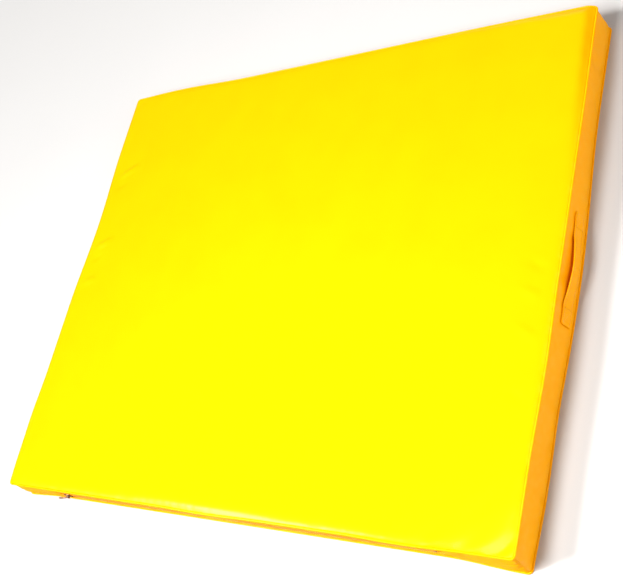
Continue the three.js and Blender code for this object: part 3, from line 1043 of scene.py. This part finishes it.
class Handle:
    """A carry strap on one side wall, sewn down at both ends and standing off the wall between them.

    Places along it are measured from its middle, and places across it from the middle of its width."""

    def __init__(self, side, sign, wall):
        self.side, self.sign, self.wall = side, sign, wall
        low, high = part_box(f"handle_{side}_end_head")
        strap_low, strap_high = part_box(f"handle_{side}_strap")
        self.centre = (strap_low.y + strap_high.y) / 2
        self.thickness = high.x - low.x
        self.middle = (low.z + high.z) / 2
        self.half_width = (high.z - low.z) / 2
        self.near = low.y - self.centre
        self.far = high.y - self.centre
        self.stand = strap_high.x - strap_low.x - self.thickness
        self.normal = Vector((sign, 0, 0))
        self.base = {way: self.reach(way * self.near, 0.0) for way in (1, -1)}

    def reach(self, along, across):
        """How far the wall stands from the mat's middle at one place."""
        return abs(self.wall.place(self.centre + along, self.middle + across).x)

    def inner_face(self, along, across):
        """How far the strap's inner face stands from the mat's middle."""
        share = 0.5 + 0.5 * along / self.near
        chord = self.base[-1] + (self.base[1] - self.base[-1]) * share
        arch = chord + self.stand * bump(along, 0, self.near)
        landed = self.reach(along, across) + STRAP_OFF_WALL
        free = smooth(self.near, self.near - STRAP_LANDING, abs(along))
        return max(landed + (arch - landed) * free, landed + STRAP_CLEARANCE * free)

    def point(self, along, across, depth):
        reach = self.inner_face(along, across) + depth
        return Vector((self.sign * reach, self.centre + along, self.middle + across))

    def ring(self, along, half_width, depth_share=1.0):
        """One closed ring of the strap's surface."""
        half = self.thickness / 2
        section = strap_section(half_width, self.thickness)
        return [self.point(along, across, half + (depth - half) * depth_share) for across, depth in section]

    def outer(self, along, across):
        """The point of the strap's sunken outer face where a seam runs."""
        return self.point(along, across, self.thickness - STRAP_SEAM_SINK * STITCH_DEPTH)

    def make_half(self, way):
        """Half of the free strap, arching from where it lands on the wall out to its middle, which stands
        off the wall.
        """
        name = f"handle_{self.side}_strap_{'head' if way > 0 else 'foot'}"
        stations = [way * self.near * (1 - k / STRAP_STATIONS) for k in range(STRAP_STATIONS + 1)]
        rings = [self.ring(along, self.half_width) for along in stations]
        strap = outward(mesh_object(name, *loft(rings), VINYL_ALONG))
        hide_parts(f"handle_{self.side}_strap")
        seam = self.half_width - STRAP_SEAM_MARGIN
        rows = []
        for across in (-seam, seam):
            rows += sewn([(way * self.near, across), (0.0, across)], self.outer, self.normal)
        thread = make_stitches(name + "_stitches", rows)
        for piece in (strap, thread):
            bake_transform(piece)

    def make_end(self, way):
        """A sewn end of the strap, with its box of stitches and the cross inside it."""
        label = "head" if way > 0 else "foot"
        name = f"handle_{self.side}_sewn_{label}"
        rings = []
        for k in range(STRAP_END_STATIONS + 1):
            distance = self.near + (self.far - self.near) * eased(k / STRAP_END_STATIONS)
            past = max(distance - (self.far - STRAP_END_CORNER), 0.0)
            narrowing = STRAP_END_CORNER - math.sqrt(max(STRAP_END_CORNER ** 2 - past ** 2, 0.0))
            last = max(distance - (self.far - self.thickness / 2), 0.0) / (self.thickness / 2)
            thinning = max(math.sqrt(max(1 - last ** 2, 0.0)), STRAP_THINNEST)
            rings.append(self.ring(way * distance, self.half_width - narrowing * STRAP_NARROWING, thinning))
        patch = outward(mesh_object(name, *loft(rings), VINYL_ALONG))
        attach(patch, "mat")
        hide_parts(f"handle_{self.side}_end_{label}")
        seam = self.half_width - STRAP_SEAM_MARGIN
        first = way * (self.near + STRAP_END_MARGIN)
        last = way * (self.far - STRAP_SEAM_MARGIN)
        box = [(first, -seam), (first, seam), (last, seam), (last, -seam), (first, -seam)]
        rows = []
        for route in (box, [box[0], box[2]], [box[1], box[3]]):
            rows += sewn(route, self.outer, self.normal)
        thread = make_stitches(name + "_stitches", rows)
        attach(thread, "mat")

    def make(self):
        for way in (1, -1):
            self.make_half(way)
            self.make_end(way)


# ---------------------------------------------------------------- zip


def tooth(x, base, tip, middle_y, half_depth):
    """One moulded tooth from its base on the tape to its tip, with a neck and a head."""
    rings = []
    for share, half_wide, deep in TOOTH_SHAPE:
        z = base + (tip - base) * share
        w, d = half_wide * MM, half_depth * deep
        near = [(-w, -d / 2), (-w / 2, -d), (w / 2, -d), (w, -d / 2)]
        outline = near + [(-dx, -dy) for dx, dy in near]
        rings.append([Vector((x + dx, middle_y + dy, z)) for dx, dy in outline])
    return loft(rings)


def make_teeth(row, way):
    low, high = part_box(f"zip_teeth_{row}")
    middle = (SLOT_LOW + SLOT_HIGH) / 2
    base = high.z if way > 0 else low.z
    tip = middle - way * TOOTH_CROSSING
    half_depth = (high.y - low.y) / 2
    count = int((high.x - low.x) / TOOTH_PITCH)
    first = low.x + TOOTH_PITCH / 4 + (TOOTH_PITCH / 2 if way < 0 else 0.0)
    middle_y = (low.y + high.y) / 2
    teeth = [tooth(first + TOOTH_PITCH * k, base, tip, middle_y, half_depth) for k in range(count)]
    obj = outward(mesh_object(f"teeth_{row}", *gather(teeth), NYLON))
    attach(obj, "mat")
    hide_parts(f"zip_teeth_{row}")


def make_zip(foot):
    """The zip's teeth, and the rows of stitches that hold its tapes to the foot wall."""
    for row, way in (("upper", 1), ("lower", -1)):
        make_teeth(row, way)
    low, high = SLOT_LOW - SLOT_SEAM_MARGIN, SLOT_HIGH + SLOT_SEAM_MARGIN
    routes = [[(-SLOT_END, z), (SLOT_END, z)] for z in (high, low)]
    for end in (-1, 1):
        x = end * (SLOT_END + SLOT_SEAM_MARGIN)
        routes.append([(x, low), (x, high)])
    rows = []
    for route in routes:
        rows += sewn(route, foot.place, foot.normal)
    thread = make_stitches("zip_stitches", rows)
    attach(thread, "mat")


# ---------------------------------------------------------------- carried-over CAD parts


def dress_cad_parts():
    for node in TAPE_NODES:
        for slot in bpy.data.objects[node].material_slots:
            slot.material = TAPE


def make_cast_piece(node, body):
    """A metal piece with the shape of its CAD solid and soft cast edges."""
    solid = bpy.data.objects[node]
    mesh = solid.data.copy()
    mesh.transform(solid.matrix_world)
    mesh.materials.clear()
    mesh.materials.append(METAL)
    obj = linked(f"cast_{node}", mesh)
    weld = obj.modifiers.new("Weld", "WELD")
    weld.merge_threshold = CAST_WELD
    soften = obj.modifiers.new("Bevel", "BEVEL")
    soften.width = CAST_BEVEL
    soften.segments = CAST_BEVEL_STEPS
    soften.limit_method = "ANGLE"
    soften.angle_limit = CAST_SHARPEST
    soften.harden_normals = True
    applied(obj)
    obj.data.polygons.foreach_set("use_smooth", [True] * len(obj.data.polygons))
    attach(obj, body)
    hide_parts(node)


# ---------------------------------------------------------------- studio


def make_camera():
    data = bpy.data.cameras.new("camera")
    data.sensor_width = SENSOR
    data.lens = LENS
    camera = linked("camera", data)
    camera.location = CAMERA_PLACE
    look = (Vector(CAMERA_AIM) - camera.location).to_track_quat("-Z", "Y").to_matrix()
    roll = Matrix.Rotation(math.radians(CAMERA_ROLL), 3, "Z")
    camera.rotation_euler = (look @ roll).to_euler()
    bpy.context.scene.camera = camera


def make_floor():
    half = FLOOR_SIZE / 2
    corners = [(-half, -half, 0), (half, -half, 0), (half, half, 0), (-half, half, 0)]
    floor = mesh_object("floor", corners, [(0, 1, 2, 3)], floor_look())


def make_lights():
    for name, place, aim, size, power in LIGHTS:
        data = bpy.data.lights.new(name, "AREA")
        data.shape = "DISK"
        data.size = size
        data.energy = power
        lamp = linked(name, data)
        lamp.location = place
        lamp.rotation_euler = (Vector(aim) - lamp.location).to_track_quat("-Z", "Y").to_euler()
    world = bpy.data.worlds.new("studio")
    world.use_nodes = True
    world.node_tree.nodes["Background"].inputs["Strength"].default_value = WORLD_LIGHT
    world.node_tree.nodes["Background"].inputs["Color"].default_value = (1.0, 1.0, 1.0, 1.0)
    bpy.context.scene.world = world
    bpy.context.scene.view_settings.view_transform = "Standard"


make_camera()
walls = make_cover()
make_filling()
make_piping("piping_top_bead", TOP - BEAD_RADIUS, "piping_top")
make_piping("piping_bottom_bead", BEAD_RADIUS, "piping_bottom")
for side, sign in (("right", 1), ("left", -1)):
    Handle(side, sign, walls[side]).make()
make_zip(walls["foot"])
dress_cad_parts()
for node, body in CAST_PIECES:
    make_cast_piece(node, body)
make_floor()
make_lights()
